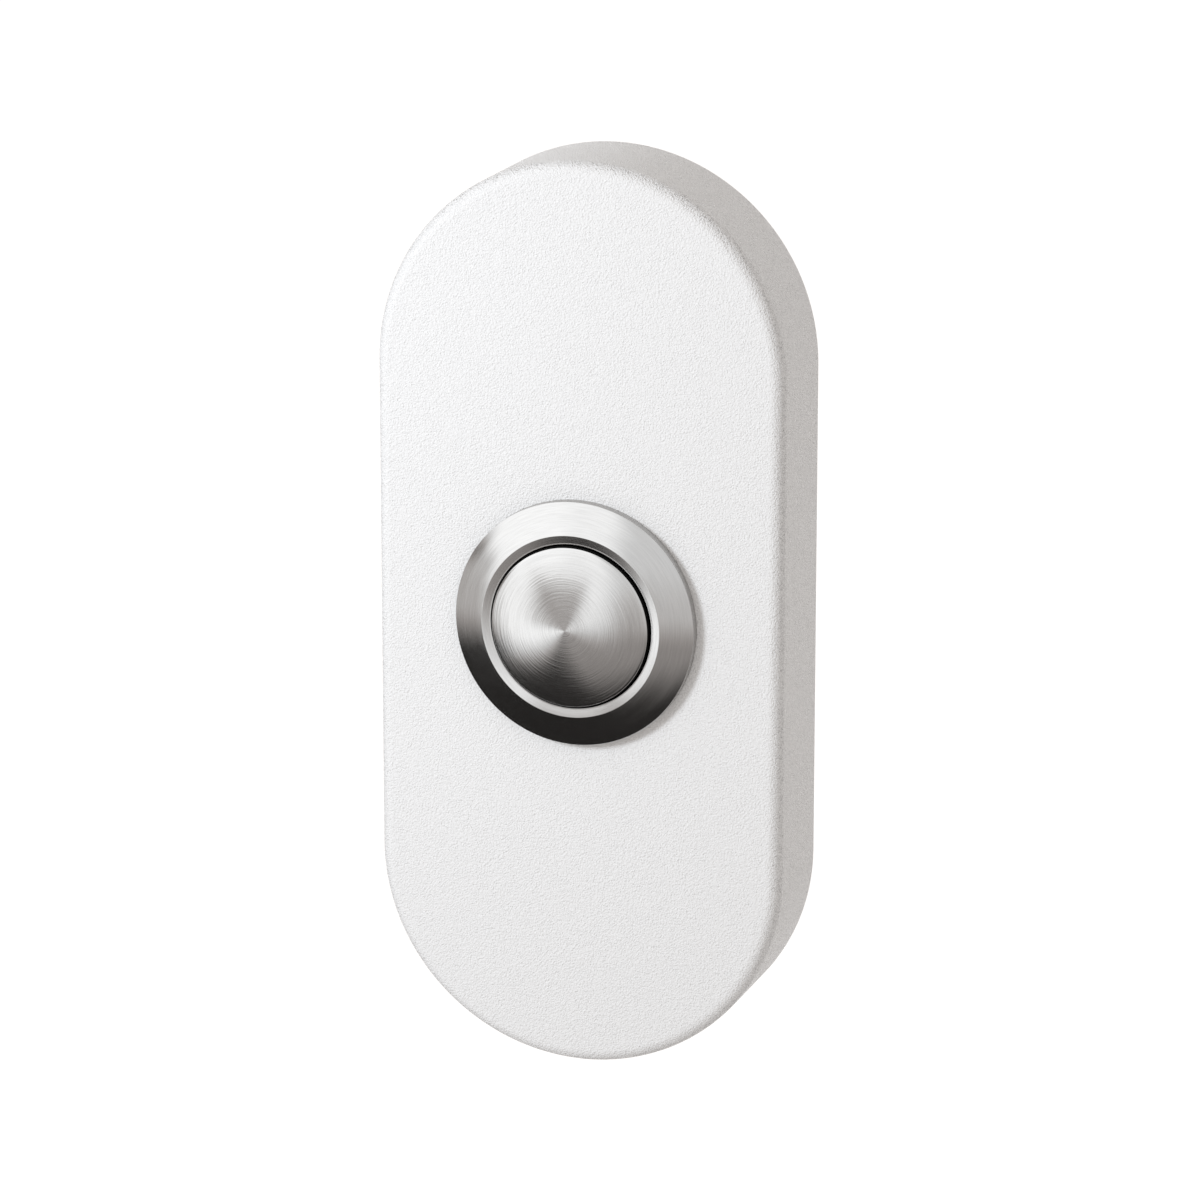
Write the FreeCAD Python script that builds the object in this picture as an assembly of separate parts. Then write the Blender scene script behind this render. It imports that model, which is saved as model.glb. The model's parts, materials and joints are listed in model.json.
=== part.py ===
import FreeCAD, Part
import math
import os

# Doorbell push button: a powder-coated cover that hooks on a wall plate and carries
# a turned stainless push button with its switch.
# Millimetres. The wall is the plane y = 0, the front looks along -Y, +Z is up, and
# the button's axis is the Y axis. A station is a place along that axis.

# Cover
cover_width = 32.0
cover_height = 70.0
cover_depth = 9.3
cover_side_wall = 1.5
cover_front_wall = 1.6
cover_front_radius = 1.0
cover_back_chamfer = 0.2
cover_inner_chamfer = 0.5

# Wall plate
plate_thickness = 2.4
plate_rim_width = 1.2
plate_rim_height = 1.6
plate_opening_clearance = 3.5
fixing_spacing = 44.0
fixing_hole_diameter = 4.2
fixing_head_diameter = 8.2
fixing_pad_border = 1.1
fixing_pad_height = 0.6

# Hook at the top of the cover, behind the edge of the wall plate
hook_width = 8.0
hook_thickness = 1.0
hook_reach = 1.8
hook_wall_gap = 0.3

# Set screw at the bottom of the cover, against a lug on the wall plate
set_screw_diameter = 3.0
set_screw_length = 5.0
set_screw_recess = 0.2
set_screw_socket = 1.5
set_screw_socket_depth = 1.8
set_screw_chamfer = 0.3
boss_width = 7.0
boss_length = 3.0
lug_width = 8.0
lug_thickness = 1.6
gusset_thickness = 1.0
gusset_length = 1.5

# Housing of the push button: head, mouth and threaded barrel
thread_diameter = 16.0
barrel_wall = 1.2
barrel_chamfer = 0.5
rim_overhang = 1.425
rim_height = 0.83
crest_height = 1.75
mouth_step = 0.46
mouth_chamfer_run = 0.58
land_width = 0.1
land_height = 1.6
shoulder_depth = 2.4

# Gasket under the head, and the washer and nut behind the cover
gasket_width = 0.85
gasket_thickness = 0.5
washer_width = 2.2
washer_thickness = 0.6
washer_tooth_count = 12
washer_tooth_length = 1.1
washer_slot_width = 1.6
nut_wall = 1.5
nut_thickness = 2.5
nut_chamfer_angle = 15
nut_face_ratio = 0.95
nut_corner_allowance = 0.1

# Cap and its seal
travel = 1.6
cap_edge_height = 1.97
cap_edge_chamfer = 0.15
dome_height = 1.03
flange_thickness = 1.2
cap_recess_wall = 1.64
cap_roof = 1.07
seal_thickness = 0.9
seal_setback = 1.87

# Plunger
plunger_head_thickness = 1.4
plunger_hub_length = 0.8
stem_diameter = 3.8
stem_flat_depth = 0.35
pin_step = 0.8
pin_end_length = 0.6

# Return spring
spring_wire_diameter = 0.5
spring_turns = 4
spring_wire_sides = 6

# Switch: carrier, bridge, clip and fixed contacts
carrier_wall = 0.8
carrier_front_wall = 2.2
spring_pocket_depth = 0.8
bridge_room = 0.8
bridge_width = 3.2
bridge_thickness = 0.4
bridge_contact_height = 0.3
contact_diameter = 1.6
contact_end_margin = 0.3
clip_width = 0.9
clip_thickness = 0.4
clip_groove_depth = 0.25
clip_opening = 1.4
fixed_contact_height = 0.25
strip_thickness = 0.4
strip_width = 2.4
leg_thickness = 0.8
leg_width = 2.0

# Rear block with the screw terminals
block_insert_length = 1.5
block_flange_overlap = 0.5
block_flange_thickness = 1.5
barrier_thickness = 1.0
barrier_height = 4.2
barrier_above_axis = 1.6
terminal_plate_thickness = 0.8
terminal_gap = 0.9
terminal_border = 0.15
terminal_angle = 42.5
terminal_head_gap = 0.85
terminal_head_border = 0.17
terminal_head_overhang = 1.0
terminal_head_height = 1.6
terminal_slot_width = 0.6
terminal_slot_depth = 0.8
terminal_screw_bite = 1.8
clamp_thickness = 0.8
clamp_inset = 0.15

# Clearances
plate_clearance = 0.15
hole_clearance = 0.1
screw_clearance = 0.05
insert_clearance = 0.05
thread_clearance = 0.05
cap_clearance = 0.1
flange_clearance = 0.08
seal_clearance = 0.03
guide_clearance = 0.08
rest_clearance = 0.02
stop_clearance = 0.05
contact_clearance = 0.05
seat_clearance = 0.2
spring_inner_clearance = 0.3
spring_outer_clearance = 0.6
bridge_clearance = 0.35

# How far a cutting tool runs past the piece, and how close an edge must be to a station
cut_overrun = 1.0
station_tolerance = 1e-4

ORIGIN = FreeCAD.Vector(0, 0, 0)
X_AXIS = FreeCAD.Vector(1, 0, 0)
Y_AXIS = FreeCAD.Vector(0, 1, 0)
Z_AXIS = FreeCAD.Vector(0, 0, 1)

# Radii, from the thread inwards
barrel_radius = thread_diameter / 2
rear_bore_radius = barrel_radius - barrel_wall
flange_radius = rear_bore_radius - flange_clearance
mouth_radius = rear_bore_radius - mouth_step
cap_radius = mouth_radius - cap_clearance
crest_radius = mouth_radius + land_width + mouth_chamfer_run
rim_radius = barrel_radius + rim_overhang
cap_recess_radius = cap_radius - cap_recess_wall
seal_outer_radius = mouth_radius - seal_clearance
seal_groove_radius = seal_outer_radius - seal_thickness - seal_clearance
insert_radius = rear_bore_radius - insert_clearance
carrier_cavity_radius = insert_radius - carrier_wall
block_flange_radius = rear_bore_radius + block_flange_overlap
spring_outer_radius = cap_recess_radius - spring_outer_clearance
hub_radius = spring_outer_radius - spring_wire_diameter - spring_inner_clearance
stem_radius = stem_diameter / 2
stem_flat_width = stem_diameter - 2 * stem_flat_depth
pin_radius = stem_radius - pin_step
bridge_radius = carrier_cavity_radius - bridge_clearance
contact_radius = contact_diameter / 2
contact_offset = bridge_radius - contact_end_margin - contact_radius
plate_opening_radius = barrel_radius + plate_opening_clearance
nut_across_flats = thread_diameter + 2 * nut_wall

# The terminal screw's head just fits between the barrier and the block's round edge.
terminal_cosine = math.cos(math.radians(terminal_angle))
terminal_near = barrier_thickness / 2 + terminal_head_gap
terminal_far = block_flange_radius - terminal_head_border
terminal_head_radius = (terminal_far * terminal_cosine - terminal_near) / (1 + terminal_cosine)
terminal_screw_radius = terminal_head_radius - terminal_head_overhang
terminal_x = terminal_near + terminal_head_radius
terminal_z = -terminal_x * math.tan(math.radians(terminal_angle))

# Stations of the cover and the head, from the wall forwards
cover_face = -cover_depth
cover_inside = cover_face + cover_front_wall
plate_front = -plate_thickness
washer_back = cover_inside + washer_thickness
nut_back = washer_back + nut_thickness

# Stations of the switch, from the cover's face backwards
cap_edge = cover_face - cap_edge_height
dome_apex = cap_edge - dome_height
seal_front = cap_edge + seal_setback - seal_thickness / 2
seal_back = seal_front + seal_thickness
recess_floor = cap_edge + cap_roof
shoulder = cover_face + shoulder_depth
flange_front = shoulder + rest_clearance
flange_back = flange_front + flange_thickness
plunger_head_back = recess_floor + plunger_head_thickness
carrier_front = flange_back + travel + stop_clearance
pocket_floor = carrier_front + spring_pocket_depth
cavity_front = carrier_front + carrier_front_wall
bridge_front = cavity_front + bridge_room
bridge_back = bridge_front + bridge_thickness
bridge_contact = bridge_back + bridge_contact_height
fixed_contact = bridge_contact + travel + contact_clearance
strip_front = fixed_contact + fixed_contact_height
block_front = strip_front + strip_thickness
barrel_end = block_front + block_insert_length
block_back = barrel_end + block_flange_thickness
terminal_back = block_back + terminal_plate_thickness
clamp_back = terminal_back + clamp_thickness
terminal_head_back = clamp_back + terminal_head_height

# Stations of the clip on the plunger's pin, and the relief behind the pin at full press
clip_front = bridge_back + rest_clearance
clip_back = clip_front + clip_thickness
pin_tip = clip_back + pin_end_length
pin_relief_floor = pin_tip + travel + seat_clearance


def turned(profile):
    """A solid of revolution about the button's axis, from (radius, station) corners."""
    corners = [FreeCAD.Vector(radius, station, 0) for radius, station in profile]
    outline = Part.makePolygon(corners + corners[:1])
    return Part.Face(outline).revolve(ORIGIN, Y_AXIS, 360)


def ring(inner_radius, outer_radius, front, back):
    """A plain ring about the button's axis."""
    return turned([
        (inner_radius, front),
        (outer_radius, front),
        (outer_radius, back),
        (inner_radius, back),
    ])


def rod(radius, front, back, x=0.0, z=0.0):
    """A cylinder along the Y direction, through the point (x, z)."""
    return Part.makeCylinder(radius, back - front, FreeCAD.Vector(x, front, z), Y_AXIS)


def centred_cut(radius, front, back, z=0.0):
    """A cylinder that clears both faces of what it cuts, centred on x = 0."""
    return rod(radius, front - cut_overrun, back + cut_overrun, z=z)


def block(x_range, y_range, z_range):
    """A box between two places on each axis."""
    corner = FreeCAD.Vector(x_range[0], y_range[0], z_range[0])
    sides = [span[1] - span[0] for span in (x_range, y_range, z_range)]
    return Part.makeBox(sides[0], sides[1], sides[2], corner)


def stadium(width, height, front, back):
    """An upright slab with full round ends, centred on the button's axis."""
    radius = width / 2
    straight = height / 2 - radius
    top_left = FreeCAD.Vector(-radius, front, straight)
    top = FreeCAD.Vector(0, front, straight + radius)
    top_right = FreeCAD.Vector(radius, front, straight)
    low_right = FreeCAD.Vector(radius, front, -straight)
    bottom = FreeCAD.Vector(0, front, -straight - radius)
    low_left = FreeCAD.Vector(-radius, front, -straight)
    edges = [
        Part.Arc(top_left, top, top_right).toShape(),
        Part.LineSegment(top_right, low_right).toShape(),
        Part.Arc(low_right, bottom, low_left).toShape(),
        Part.LineSegment(low_left, top_left).toShape(),
    ]
    return Part.Face(Part.Wire(edges)).extrude(Y_AXIS * (back - front))


def edges_at(shape, station):
    """The edges that lie wholly in the plane of one station."""
    return [
        edge for edge in shape.Edges
        if abs(edge.BoundBox.YMin - station) < station_tolerance
        and abs(edge.BoundBox.YMax - station) < station_tolerance
    ]


def hexagon(across_flats, front, back):
    """A hexagonal bar about the button's axis, with two corners on the X axis."""
    corner_radius = across_flats / math.sqrt(3)
    corners = [
        FreeCAD.Vector(
            corner_radius * math.cos(math.radians(60 * k)),
            front,
            corner_radius * math.sin(math.radians(60 * k)),
        )
        for k in range(6)
    ]
    outline = Part.makePolygon(corners + corners[:1])
    return Part.Face(outline).extrude(Y_AXIS * (back - front))


def mirrored(shape):
    """The same piece on the other side of the button's axis."""
    return shape.mirror(ORIGIN, X_AXIS)


# The set screw's line crosses the space between the wall plate and the cover's face.
set_screw_y = (cover_inside + plate_front) / 2
set_screw_outer_z = -cover_height / 2 + set_screw_recess
set_screw_tip_z = set_screw_outer_z + set_screw_length
boss_end_z = -cover_height / 2 + cover_side_wall + boss_length


def make_cover():
    outside = stadium(cover_width, cover_height, cover_face, 0)
    outside = outside.makeFillet(cover_front_radius, edges_at(outside, cover_face))
    outside = outside.makeChamfer(cover_back_chamfer, edges_at(outside, 0))
    hollow = stadium(
        cover_width - 2 * cover_side_wall, cover_height - 2 * cover_side_wall, cover_inside, 0
    )
    hollow = hollow.makeChamfer(cover_inner_chamfer, edges_at(hollow, cover_inside))
    shell = outside.cut(hollow)
    shell = shell.cut(centred_cut(barrel_radius + hole_clearance, cover_face, cover_inside))

    boss = block(
        (-boss_width / 2, boss_width / 2),
        (cover_face + cover_front_wall / 2, plate_front - seat_clearance),
        (-cover_height / 2 + cover_side_wall / 2, boss_end_z),
    )
    hook_front = hook_wall_gap + hook_thickness
    hook = block(
        (-hook_width / 2, hook_width / 2),
        (-hook_front, -hook_wall_gap),
        (cover_height / 2 - cover_side_wall - hook_reach, cover_height / 2 - cover_side_wall / 2),
    )
    shell = shell.fuse([boss.common(outside), hook.common(outside)])

    bore_start = FreeCAD.Vector(0, set_screw_y, -cover_height / 2 - cut_overrun)
    bore_length = boss_end_z + cover_height / 2 + 2 * cut_overrun
    bore = Part.makeCylinder(set_screw_diameter / 2, bore_length, bore_start, Z_AXIS)
    return shell.cut(bore).removeSplitter()


def make_base_plate():
    gap = cover_side_wall + plate_clearance
    width = cover_width - 2 * gap
    height = cover_height - 2 * gap
    rim_front = plate_front - plate_rim_height
    plate = stadium(width, height, plate_front, 0)
    rim = stadium(width, height, rim_front, plate_front).cut(
        stadium(width - 2 * plate_rim_width, height - 2 * plate_rim_width, rim_front, plate_front)
    )
    boss_side = boss_width / 2 + seat_clearance
    rim = rim.cut(block((-boss_side, boss_side), (rim_front, plate_front), (-height / 2, 0)))
    pads = [
        rod(
            fixing_head_diameter / 2 + fixing_pad_border,
            plate_front - fixing_pad_height,
            plate_front,
            z=z,
        )
        for z in (-fixing_spacing / 2, fixing_spacing / 2)
    ]

    lug_front = cover_inside + seat_clearance
    lug = block(
        (-lug_width / 2, lug_width / 2),
        (lug_front, plate_front),
        (set_screw_tip_z, set_screw_tip_z + lug_thickness),
    )
    gusset_foot = set_screw_tip_z + lug_thickness
    gusset_outline = Part.makePolygon([
        FreeCAD.Vector(0, plate_front, gusset_foot),
        FreeCAD.Vector(0, plate_front, gusset_foot + gusset_length),
        FreeCAD.Vector(0, lug_front + gusset_length, gusset_foot),
        FreeCAD.Vector(0, plate_front, gusset_foot),
    ])
    gusset = Part.Face(gusset_outline).extrude(X_AXIS * gusset_thickness)
    right_gusset = gusset.translated(X_AXIS * (lug_width / 2 - gusset_thickness))
    plate = plate.fuse([rim, lug, right_gusset, mirrored(right_gusset)] + pads)

    plate = plate.cut(centred_cut(plate_opening_radius, rim_front, 0))
    pad_front = plate_front - fixing_pad_height
    hole_radius = fixing_hole_diameter / 2
    head_radius = fixing_head_diameter / 2
    sink_depth = head_radius - hole_radius
    for z in (-fixing_spacing / 2, fixing_spacing / 2):
        plate = plate.cut(centred_cut(hole_radius, pad_front, 0, z=z))
        place = FreeCAD.Vector(0, pad_front, z)
        plate = plate.cut(Part.makeCone(head_radius, hole_radius, sink_depth, place, Y_AXIS))

    rebate_side = hook_width / 2 + seat_clearance
    rebate_foot = cover_height / 2 - cover_side_wall - hook_reach - seat_clearance
    rebate = block(
        (-rebate_side, rebate_side),
        (-hook_wall_gap - hook_thickness, cut_overrun),
        (rebate_foot, cover_height / 2),
    )
    return plate.cut(rebate).removeSplitter()


def make_set_screw():
    radius = set_screw_diameter / 2 - screw_clearance
    inner = radius - set_screw_chamfer
    bottom = set_screw_outer_z
    top = set_screw_tip_z
    corners = [
        (0, bottom),
        (inner, bottom),
        (radius, bottom + set_screw_chamfer),
        (radius, top - set_screw_chamfer),
        (inner, top),
        (0, top),
    ]
    points = [FreeCAD.Vector(r, 0, z) for r, z in corners]
    screw = Part.Face(Part.makePolygon(points + points[:1])).revolve(ORIGIN, Z_AXIS, 360)
    socket = hexagon(set_screw_socket, 0, set_screw_socket_depth)
    socket.rotate(ORIGIN, X_AXIS, 90)
    socket.translate(Z_AXIS * bottom)
    screw = screw.cut(socket)
    return screw.translated(Y_AXIS * set_screw_y)


def make_housing():
    land_outer = mouth_radius + land_width
    recess_radius = barrel_radius + gasket_width + hole_clearance
    recess_roof = cover_face - gasket_thickness
    return turned([
        (mouth_radius, cover_face - land_height),
        (land_outer, cover_face - land_height),
        (crest_radius, cover_face - crest_height),
        (rim_radius, cover_face - rim_height),
        (rim_radius, cover_face),
        (recess_radius, cover_face),
        (recess_radius, recess_roof),
        (barrel_radius, recess_roof),
        (barrel_radius, barrel_end - barrel_chamfer),
        (barrel_radius - barrel_chamfer, barrel_end),
        (rear_bore_radius, barrel_end),
        (rear_bore_radius, shoulder),
        (mouth_radius, shoulder),
    ])


def make_gasket():
    inner = barrel_radius + thread_clearance
    return ring(inner, barrel_radius + gasket_width, cover_face - gasket_thickness, cover_face)


def make_lock_washer():
    inner = barrel_radius + hole_clearance
    washer = ring(inner, inner + washer_width, cover_inside, washer_back)
    slot = block(
        (inner - cut_overrun, inner + washer_tooth_length),
        (cover_inside - cut_overrun, washer_back + cut_overrun),
        (-washer_slot_width / 2, washer_slot_width / 2),
    )
    slots = []
    for k in range(washer_tooth_count):
        turned_slot = slot.copy()
        turned_slot.rotate(ORIGIN, Y_AXIS, 360 * k / washer_tooth_count)
        slots.append(turned_slot)
    return washer.cut(slots)


def make_nut():
    """A thin hexagonal nut with its corners chamfered on the rear face."""
    flat_radius = nut_across_flats / 2
    corner_radius = nut_across_flats / math.sqrt(3) + nut_corner_allowance
    face_radius = nut_face_ratio * flat_radius
    chamfer = (corner_radius - face_radius) * math.tan(math.radians(nut_chamfer_angle))
    envelope = turned([
        (0, washer_back),
        (corner_radius, washer_back),
        (corner_radius, nut_back - chamfer),
        (face_radius, nut_back),
        (0, nut_back),
    ])
    nut = hexagon(nut_across_flats, washer_back, nut_back).common(envelope)
    return nut.cut(centred_cut(barrel_radius + thread_clearance, washer_back, nut_back))


def make_cap():
    """The domed cap: seal groove, retaining flange and the recess for the plunger."""
    groove_front = seal_front - seal_clearance
    groove_back = seal_back + seal_clearance
    dome_edge_radius = cap_radius - cap_edge_chamfer
    dome_radius = (dome_edge_radius ** 2 + dome_height ** 2) / (2 * dome_height)
    half_angle = math.asin(dome_edge_radius / dome_radius) / 2
    halfway = FreeCAD.Vector(
        dome_radius * math.sin(half_angle),
        dome_apex + dome_radius * (1 - math.cos(half_angle)),
        0,
    )
    apex = FreeCAD.Vector(0, dome_apex, 0)
    rim = FreeCAD.Vector(dome_edge_radius, cap_edge, 0)
    side = [
        (cap_radius, cap_edge + cap_edge_chamfer),
        (cap_radius, groove_front),
        (seal_groove_radius, groove_front),
        (seal_groove_radius, groove_back),
        (cap_radius, groove_back),
        (cap_radius, flange_front),
        (flange_radius, flange_front),
        (flange_radius, flange_back),
        (cap_recess_radius, flange_back),
        (cap_recess_radius, recess_floor),
        (0, recess_floor),
    ]
    corners = [rim] + [FreeCAD.Vector(r, y, 0) for r, y in side] + [apex]
    edges = [Part.Arc(apex, halfway, rim).toShape()]
    edges += [Part.LineSegment(a, b).toShape() for a, b in zip(corners, corners[1:])]
    return Part.Face(Part.Wire(edges)).revolve(ORIGIN, Y_AXIS, 360)


def make_seal():
    """A square-cut rubber ring in the cap's groove."""
    return ring(seal_outer_radius - seal_thickness, seal_outer_radius, seal_front, seal_back)


def flatted_rod(radius, flat_width, front, back):
    """A rod about the axis with two flats that stop it turning."""
    flats = block((-flat_width / 2, flat_width / 2), (front, back), (-radius, radius))
    return rod(radius, front, back).common(flats)


def make_plunger():
    hub_back = plunger_head_back + plunger_hub_length
    groove = ring(pin_radius - clip_groove_depth, pin_radius + cut_overrun, clip_front, clip_back)
    plunger = rod(cap_recess_radius - insert_clearance, recess_floor, plunger_head_back).fuse([
        rod(hub_radius, plunger_head_back, hub_back),
        flatted_rod(stem_radius, stem_flat_width, hub_back, bridge_front),
        rod(pin_radius, bridge_front, pin_tip),
    ])
    return plunger.cut(groove).removeSplitter()


def make_clip():
    """A snap ring in the groove of the plunger's pin, open at the bottom."""
    inner = pin_radius - clip_groove_depth + rest_clearance
    clip = ring(inner, pin_radius + clip_width, clip_front, clip_back)
    opening = block(
        (-clip_opening / 2, clip_opening / 2),
        (clip_front - cut_overrun, clip_back + cut_overrun),
        (-pin_radius - clip_width - cut_overrun, 0),
    )
    return clip.cut(opening)


def make_spring():
    """The return spring's coil, with the round wire's section drawn as a polygon."""
    wire_radius = spring_wire_diameter / 2
    mean_radius = spring_outer_radius - wire_radius
    start = plunger_head_back + wire_radius + rest_clearance
    end = pocket_floor - wire_radius - rest_clearance
    height = end - start
    path = Part.makeHelix(height / spring_turns, height, mean_radius)
    side_angle = 2 * math.pi / spring_wire_sides
    corners = [
        FreeCAD.Vector(
            mean_radius + wire_radius * math.cos(side_angle * k),
            0,
            wire_radius * math.sin(side_angle * k),
        )
        for k in range(spring_wire_sides)
    ]
    section = Part.makePolygon(corners + corners[:1])
    coil = Part.Wire(path).makePipeShell([section], True, True)
    coil.rotate(ORIGIN, X_AXIS, -90)
    return coil.translated(Y_AXIS * start)


def make_carrier():
    """The cup in the barrel: spring pocket, guide for the stem, and room for the bridge."""
    pocket_radius = spring_outer_radius + seat_clearance
    cup = turned([
        (0, pocket_floor),
        (pocket_radius, pocket_floor),
        (pocket_radius, carrier_front),
        (insert_radius, carrier_front),
        (insert_radius, block_front),
        (carrier_cavity_radius, block_front),
        (carrier_cavity_radius, cavity_front),
        (0, cavity_front),
    ])
    guide = flatted_rod(
        stem_radius + guide_clearance,
        stem_flat_width + 2 * guide_clearance,
        pocket_floor - cut_overrun,
        cavity_front + cut_overrun,
    )
    return cup.cut(guide)


def make_bridge():
    strip = block(
        (-bridge_radius, bridge_radius),
        (bridge_front, bridge_back),
        (-bridge_width / 2, bridge_width / 2),
    )
    strip = strip.common(rod(bridge_radius, bridge_front, bridge_back))
    contacts = [
        rod(contact_radius, bridge_back, bridge_contact, x=x)
        for x in (-contact_offset, contact_offset)
    ]
    hole = centred_cut(pin_radius + insert_clearance, bridge_front, bridge_back)
    return strip.fuse(contacts).cut(hole)


def terminal_outline(front, back):
    """The space right of the barrier that a terminal may fill."""
    reach = block_flange_radius - terminal_border
    near = barrier_thickness / 2 + terminal_gap
    half = block((near, reach), (front, back), (-reach, strip_width / 2))
    return half.common(rod(reach, front, back))


def terminal_hole(front, back):
    """The clearance hole for the right terminal's screw."""
    return rod(terminal_screw_radius + screw_clearance, front, back, terminal_x, terminal_z)


def make_contact():
    """A brass strip: contact inside, leg through the block, and terminal plate behind it."""
    half_leg = leg_thickness / 2
    inside = block(
        (contact_offset - strip_width / 2, contact_offset + strip_width / 2),
        (strip_front, block_front),
        (-strip_width / 2, strip_width / 2),
    )
    button = rod(contact_radius, fixed_contact, strip_front, x=contact_offset)
    leg = block(
        (contact_offset - half_leg, contact_offset + half_leg),
        (block_front, block_back),
        (-leg_width / 2, leg_width / 2),
    )
    plate = terminal_outline(block_back, terminal_back)
    contact = inside.fuse([button, leg, plate])
    hole = terminal_hole(block_back - cut_overrun, terminal_back + cut_overrun)
    return contact.cut(hole).removeSplitter()


def make_terminal_screw():
    tip = block_back - terminal_screw_bite
    head = rod(terminal_head_radius, clamp_back, terminal_head_back, terminal_x, terminal_z)
    shank = rod(terminal_screw_radius, tip, clamp_back, terminal_x, terminal_z)
    slot = block(
        (terminal_x - 2 * terminal_head_radius, terminal_x + 2 * terminal_head_radius),
        (terminal_head_back - terminal_slot_depth, terminal_head_back + cut_overrun),
        (terminal_z - terminal_slot_width / 2, terminal_z + terminal_slot_width / 2),
    )
    return head.fuse(shank).cut(slot)


def make_terminal_clamp():
    half = terminal_head_radius - clamp_inset
    plate = block(
        (terminal_x - half, terminal_x + half),
        (terminal_back, clamp_back),
        (terminal_z - half, terminal_z + half),
    )
    plate = plate.common(terminal_outline(terminal_back, clamp_back))
    return plate.cut(terminal_hole(terminal_back - cut_overrun, clamp_back + cut_overrun))


def make_terminal_block():
    """The rear block: an insert in the barrel, a flange behind it and a barrier."""
    body = rod(insert_radius, block_front, barrel_end)
    body = body.fuse(rod(block_flange_radius, barrel_end, block_back))
    barrier_low = block_flange_radius - terminal_border
    barrier = block(
        (-barrier_thickness / 2, barrier_thickness / 2),
        (barrel_end, block_back + barrier_height),
        (-barrier_low, barrier_above_axis),
    )
    barrier = barrier.common(rod(block_flange_radius, barrel_end, block_back + barrier_height))
    body = body.fuse(barrier)
    body = body.cut(rod(pin_radius + seat_clearance, block_front - cut_overrun, pin_relief_floor))
    half_leg = leg_thickness / 2 + insert_clearance
    half_leg_width = leg_width / 2 + insert_clearance
    leg_hole = block(
        (contact_offset - half_leg, contact_offset + half_leg),
        (block_front - cut_overrun, block_back + cut_overrun),
        (-half_leg_width, half_leg_width),
    )
    screw_hole_floor = block_back - terminal_screw_bite - seat_clearance
    screw_hole = terminal_hole(screw_hole_floor, block_back + cut_overrun)
    holes = [leg_hole, mirrored(leg_hole), screw_hole, mirrored(screw_hole)]
    return body.cut(holes).removeSplitter()


def main():
    contact = make_contact()
    screw = make_terminal_screw()
    clamp = make_terminal_clamp()
    pieces = {
        "cover": make_cover(),
        "base_plate": make_base_plate(),
        "cover_set_screw": make_set_screw(),
        "button_housing": make_housing(),
        "head_gasket": make_gasket(),
        "lock_washer": make_lock_washer(),
        "hex_nut": make_nut(),
        "button_cap": make_cap(),
        "cap_seal": make_seal(),
        "plunger": make_plunger(),
        "plunger_clip": make_clip(),
        "return_spring": make_spring(),
        "contact_carrier": make_carrier(),
        "contact_bridge": make_bridge(),
        "terminal_block": make_terminal_block(),
        "contact_right": contact,
        "contact_left": mirrored(contact),
        "terminal_screw_right": screw,
        "terminal_screw_left": mirrored(screw),
        "terminal_clamp_right": clamp,
        "terminal_clamp_left": mirrored(clamp),
    }
    os.makedirs("parts", exist_ok=True)
    for name, shape in pieces.items():
        solids = shape.Solids
        if len(solids) != 1 or not shape.isValid():
            print(name, "has", len(solids), "solids, valid:", shape.isValid())
        solids[0].exportStep(os.path.join("parts", name + ".step"))


main()
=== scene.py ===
import json
import math

import bmesh
import bpy
from mathutils import Matrix, Vector


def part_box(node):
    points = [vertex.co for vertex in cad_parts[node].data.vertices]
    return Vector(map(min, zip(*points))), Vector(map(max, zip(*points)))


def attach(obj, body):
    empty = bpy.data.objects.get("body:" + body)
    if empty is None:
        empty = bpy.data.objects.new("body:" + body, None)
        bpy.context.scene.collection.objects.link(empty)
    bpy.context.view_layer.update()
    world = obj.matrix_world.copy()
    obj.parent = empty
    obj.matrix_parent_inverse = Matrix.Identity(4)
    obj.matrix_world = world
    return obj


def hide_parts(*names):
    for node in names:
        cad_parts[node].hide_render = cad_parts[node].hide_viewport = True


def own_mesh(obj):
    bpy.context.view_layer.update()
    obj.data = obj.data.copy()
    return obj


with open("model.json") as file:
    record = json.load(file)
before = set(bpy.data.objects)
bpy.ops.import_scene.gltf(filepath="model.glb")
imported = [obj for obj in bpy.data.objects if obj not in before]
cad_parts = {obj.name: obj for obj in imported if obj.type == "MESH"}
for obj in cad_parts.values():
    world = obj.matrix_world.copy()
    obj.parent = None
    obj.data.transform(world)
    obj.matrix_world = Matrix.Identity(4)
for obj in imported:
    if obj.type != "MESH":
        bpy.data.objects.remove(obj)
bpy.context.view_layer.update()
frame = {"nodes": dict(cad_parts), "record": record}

# Lengths are millimetres until a piece is finished, which scales it to metres.
# The wall is the plane y = 0, the front looks along -Y, and the button's axis is the Y axis.
MM = 0.001


def span(node):
    """A node's lowest and highest corner in millimetres."""
    low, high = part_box(node)
    return low / MM, high / MM


slot_of = {part["node"]: part["material_slot"] for part in frame["record"]["subparts"]}
bodies = frame["record"]["behaviour"]["bodies"]
body_of = {node: body for body, nodes in bodies.items() for node in nodes}

# Sizes read from the frame
cover_low, cover_high = span("cover")
plate_low, plate_high = span("base_plate")
housing_low, housing_high = span("button_housing")
cap_low, cap_high = span("button_cap")
washer_low = span("lock_washer")[0]
nut_low, nut_high = span("hex_nut")
seal_low, seal_high = span("cap_seal")
spring_low, spring_high = span("return_spring")
block_low, block_high = span("terminal_block")
screw_low, screw_high = span("terminal_screw_right")
set_low, set_high = span("cover_set_screw")

# Lengths that several pieces share
overrun = 1.0  # how far a cutting tool runs past what it cuts
bite = 0.5  # how deep an added form reaches into what carries it
seat_gap = 0.2  # left round the cover's hook and boss, and behind the end of a screw
fit_gap = 0.05  # round what is pushed or screwed into a bore

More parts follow.
